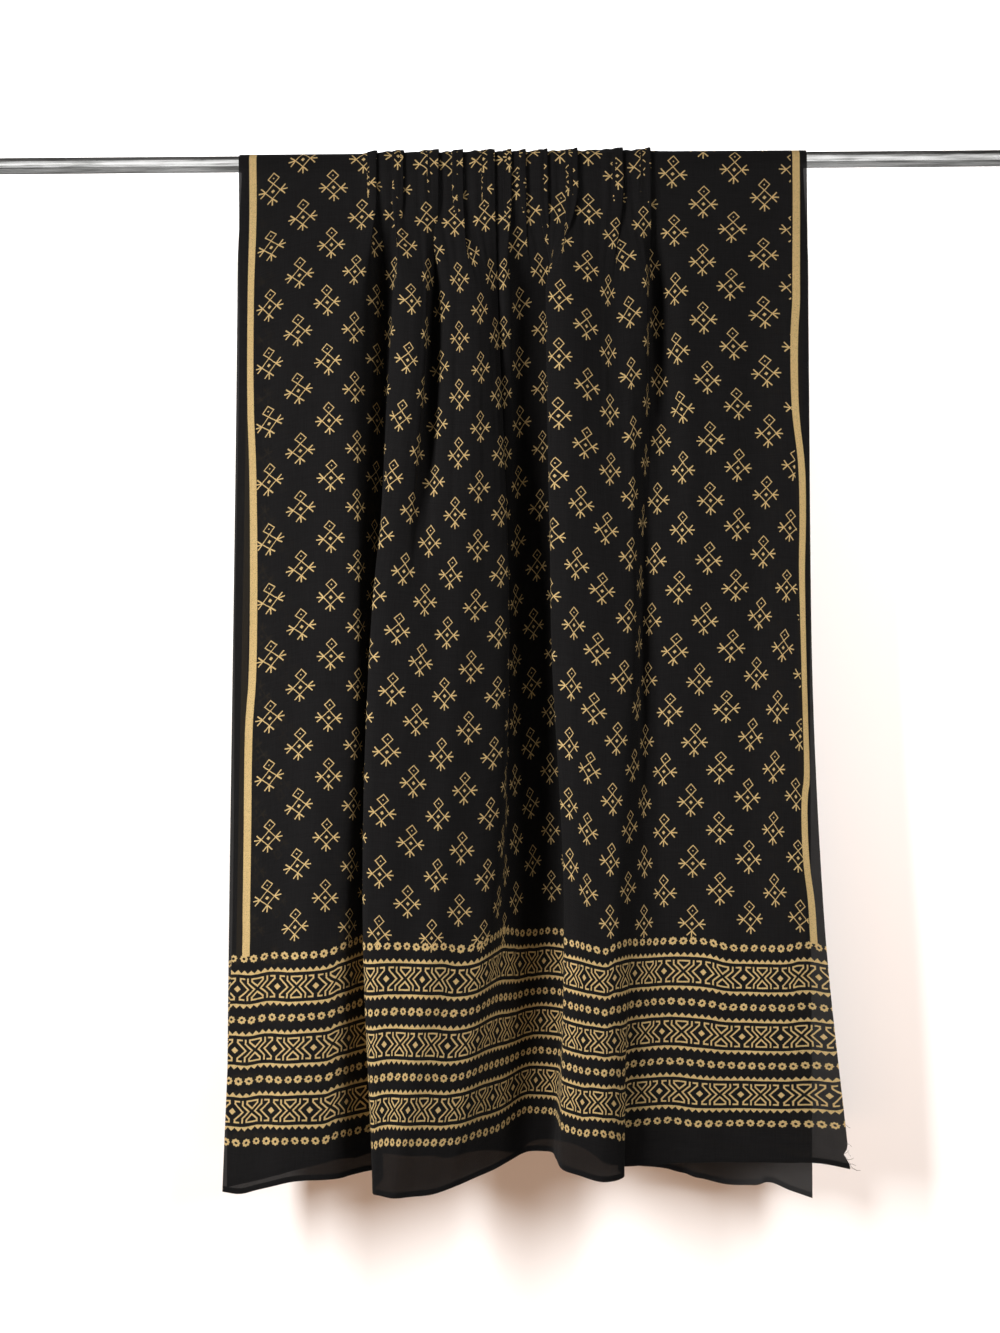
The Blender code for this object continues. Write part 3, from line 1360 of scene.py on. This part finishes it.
def stripe_depth(paint, place, height):
    """Depth inside the two side stripes, which stop at the border."""
    from_right = CLOTH_WIDTH * 1000 - place.across
    left = STRIPE_HALF - abs(place.across - paint.curve(place.from_front, LEFT_STRIPE))
    right = STRIPE_HALF - abs(from_right - paint.curve(place.from_front, RIGHT_STRIPE))
    return smallest(largest(left, right), height - (BORDER_TO - STRIPE_OVERLAP))


# ================================================================== materials


def ink_cover(paint, place):
    """How much ink covers the cloth, from 0 to 1, worn in small spots."""
    height = border_height(paint, place)
    depth = largest(
        field_depth(paint, place),
        border_depth(paint, place, height),
        stripe_depth(paint, place, height),
    )
    grain = paint.noise(place.across, place.from_front, GRAIN_SIZE, 11.0, rough=0.7)
    ink = (depth * INK_SHARPNESS + 0.5 + (grain - 0.5) * INK_GRAIN).clamped()
    whole = ((grain - INK_WORN_BELOW) * INK_WORN_SHARPNESS).clamped()
    return ink * (INK_LEAST + whole * (1 - INK_LEAST))


def slubs(paint, place):
    """Thick and thin stretches of the yarn, both ways, around 0."""
    across, from_front = place.across, place.from_front
    warp = paint.noise(across * SLUB_THIN, from_front * SLUB_LONG, SLUB_SIZE, 1.0)
    weft = paint.noise(across * SLUB_LONG, from_front * SLUB_THIN, SLUB_SIZE, 2.0)
    return warp + weft - 1.0


def corner_painted_light(place, cloudy):
    """How much painted light pales the back half towards its right corner, from 0 to about 1."""
    rightward = ((place.across - PAINTED_LIGHT_FROM_LEFT) * (1 / PAINTED_LIGHT_FROM_LEFT_OVER)).clamped()
    downward = ((PAINTED_LIGHT_FROM_BACK - place.from_back) * (1 / PAINTED_LIGHT_FROM_BACK_OVER)).clamped()
    return rightward * downward * (cloudy * PAINTED_LIGHT_CLOUDY + PAINTED_LIGHT_SHARE)


def cotton():
    """Black mulmul, thin enough to see through a little, with its gold print."""
    material = bpy.data.materials.new("printed_black_mulmul")
    paint = Painter(material)
    place = Place(paint)
    ink = ink_cover(paint, place)
    slub = slubs(paint, place)
    cloudy = paint.noise(place.across, place.from_front, CLOUD_SIZE, 4.0)

    black = paint.mix((slub * BLACK_SLUB + 0.5).clamped(), BLACK_LOW, BLACK_HIGH)
    # painted light: the back half's right corner is mixed towards a paler black, standing in for light
    # falling on it
    black = paint.mix(corner_painted_light(place, cloudy), black, BLACK_PAINTED_LIGHT)
    gold_tone = (cloudy * GOLD_CLOUDY + slub * GOLD_SLUB + GOLD_TONE).clamped()
    gold = paint.mix(gold_tone, GOLD_LOW, GOLD_HIGH)
    paint.set("Base Color", paint.mix(ink, black, gold))
    paint.set("Roughness", COTTON_ROUGHNESS)
    paint.set("Sheen Weight", COTTON_SHEEN)
    paint.set("Sheen Roughness", COTTON_SHEEN_ROUGHNESS)
    paint.set("Specular IOR Level", COTTON_SPECULAR)
    hem = place.from_end < HEM_TURN * 1000
    solid = largest(ink * INK_COVER, hem * HEM_COVER)
    paint.set("Alpha", (COVER + slub * COVER_UNEVEN + solid * COVER_MORE).clamped())

    # the weave's relief, which leaves the print out: Cycles works a bump's
    # height out three times
    warp = (place.across * (2 * math.pi / THREAD)).sine()
    weft = (place.from_front * (2 * math.pi / THREAD)).sine()
    paint.set("Normal", paint.bump(warp * weft * WEAVE_SHARE + slub * SLUB_SHARE, RELIEF))
    material.use_transparent_shadow = False
    return material


def steel():
    """Bright drawn steel, with fine streaks along its length."""
    material = bpy.data.materials.new("streaked_steel")
    paint = Painter(material)
    node = paint.tree.nodes.new("ShaderNodeTexCoord")
    x, y, z = paint.split(node.outputs["Object"])
    tone = STEEL_TONE
    streaks = []
    for along, around, detail, rough, share in STEEL_STREAKS:
        streak = paint.noise(x * along, y * around, 1.0, z * around, detail=detail, rough=rough)
        tone = streak * share + tone
        streaks.append(streak)
    paint.set("Base Color", paint.mix(tone.clamped(), STEEL_DARK, STEEL_BRIGHT))
    paint.set("Metallic", 1.0)
    paint.set("Roughness", STEEL_ROUGHNESS + streaks[0] * STEEL_ROUGHNESS_MORE)
    paint.set("Normal", paint.bump(streaks[0], STEEL_RELIEF))
    return material


# ============================================================ stage and lights


def plain(name, colour):
    """A matt material of one colour."""
    material = bpy.data.materials.new(name)
    material.use_nodes = True
    shader = material.node_tree.nodes["Principled BSDF"]
    shader.inputs["Base Color"].default_value = (*colour, 1.0)
    shader.inputs["Roughness"].default_value = PLAIN_ROUGHNESS
    shader.inputs["Specular IOR Level"].default_value = PLAIN_SPECULAR
    return material


def one_sided(material):
    """Makes the material clear from behind."""
    tree = material.node_tree
    shader = tree.nodes["Principled BSDF"]
    out = tree.nodes["Material Output"]
    side = tree.nodes.new("ShaderNodeNewGeometry")
    clear = tree.nodes.new("ShaderNodeBsdfTransparent")
    mix = tree.nodes.new("ShaderNodeMixShader")
    tree.links.new(side.outputs["Backfacing"], mix.inputs[0])
    tree.links.new(shader.outputs[0], mix.inputs[1])
    tree.links.new(clear.outputs[0], mix.inputs[2])
    tree.links.new(mix.outputs[0], out.inputs["Surface"])
    return material


def quad(name, corners, material):
    """A flat piece of the stage."""
    mesh = bpy.data.meshes.new(name)
    mesh.from_pydata(corners, [], [(0, 1, 2, 3)])
    mesh.materials.append(material)
    obj = bpy.data.objects.new(name, mesh)
    bpy.context.scene.collection.objects.link(obj)
    return obj


def make_stage():
    """The floor, and the wall close behind the cloth, which is clear from
    behind and which only the camera sees. Returns the wall."""
    low = cad_box[0][2] - FLOOR_BELOW
    wall_y = cad_box[1][1] + WALL_GAP
    half = STAGE_HALF
    left = RAIL_MIDDLE - half
    right = RAIL_MIDDLE + half
    floor = quad(
        "floor",
        [(left, -half, low), (right, -half, low), (right, half, low), (left, half, low)],
        plain("pale_floor", STAGE_PALE),
    )
    floor.visible_diffuse = False
    wall = quad(
        "wall",
        [(left, wall_y, low), (right, wall_y, low), (right, wall_y, WALL_TOP), (left, wall_y, WALL_TOP)],
        one_sided(plain("pale_wall", STAGE_PALE)),
    )
    wall.visible_diffuse = False
    wall.visible_glossy = False
    wall.visible_transmission = False
    wall.visible_shadow = False
    return wall


def make_light(name, aside, y, z, aim_height, size, watts, spread, colour):
    """An area light, placed and aimed from the rail's middle."""
    light = bpy.data.lights.new(name, "AREA")
    light.shape = "RECTANGLE"
    light.size, light.size_y = size
    light.energy = watts
    light.spread = math.radians(spread)
    light.color = colour
    obj = bpy.data.objects.new(name, light)
    place = Vector((RAIL_MIDDLE + aside, y, z))
    towards = Vector((RAIL_MIDDLE, 0.0, aim_height)) - place
    obj.location = place
    obj.rotation_euler = towards.to_track_quat("-Z", "Y").to_euler()
    bpy.context.scene.collection.objects.link(obj)
    return obj


def light_only(lights, name, obj, include):
    """The lights reach only this object, or everything but it."""
    receivers = bpy.data.collections.new(name)
    receivers.objects.link(obj)
    receivers.collection_objects[0].light_linking.link_state = "INCLUDE" if include else "EXCLUDE"
    for light in lights:
        light.light_linking.receiver_collection = receivers


def make_lights(wall):
    """Two soft lights and their fill for the cloth, a large one that the steel
    reflects, and the wall's own lights."""
    groups = (
        (CLOTH_LIGHTS, "not_the_wall", wall, False),
        (RAIL_LIGHTS, "the_rail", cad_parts["rail"], True),
        (WALL_LIGHTS, "the_wall", wall, True),
    )
    for rows, name, obj, include in groups:
        light_only([make_light(*row) for row in rows], name, obj, include)


def make_world():
    world = bpy.data.worlds.new("studio")
    world.use_nodes = True
    background = world.node_tree.nodes["Background"]
    background.inputs["Color"].default_value = WORLD_COLOUR
    background.inputs["Strength"].default_value = WORLD_STRENGTH
    bpy.context.scene.world = world


def make_camera():
    camera = bpy.data.cameras.new("camera")
    camera.sensor_width = SENSOR
    camera.lens = CAMERA_LENS
    obj = bpy.data.objects.new("camera", camera)
    place = Matrix.Translation((RAIL_MIDDLE, -CAMERA_BACK, CAMERA_HEIGHT))
    level = Matrix.Rotation(math.radians(90), 4, "X")
    obj.matrix_world = place @ level @ Matrix.Rotation(CAMERA_ROLL, 4, "Z")
    bpy.context.scene.collection.objects.link(obj)
    bpy.context.scene.camera = obj
    bpy.context.scene.view_settings.view_transform = "Standard"


# ===================================================================== making

make_camera()
make_lights(make_stage())
make_world()

cloth, right_edge = make_cloth()
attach(cloth, "root")
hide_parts("dupatta")

threads = make_threads(right_edge, plain("black_thread", BLACK_HIGH))
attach(threads, "root")

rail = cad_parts["rail"]
for material_slot in rail.material_slots:
    material_slot.material = steel()
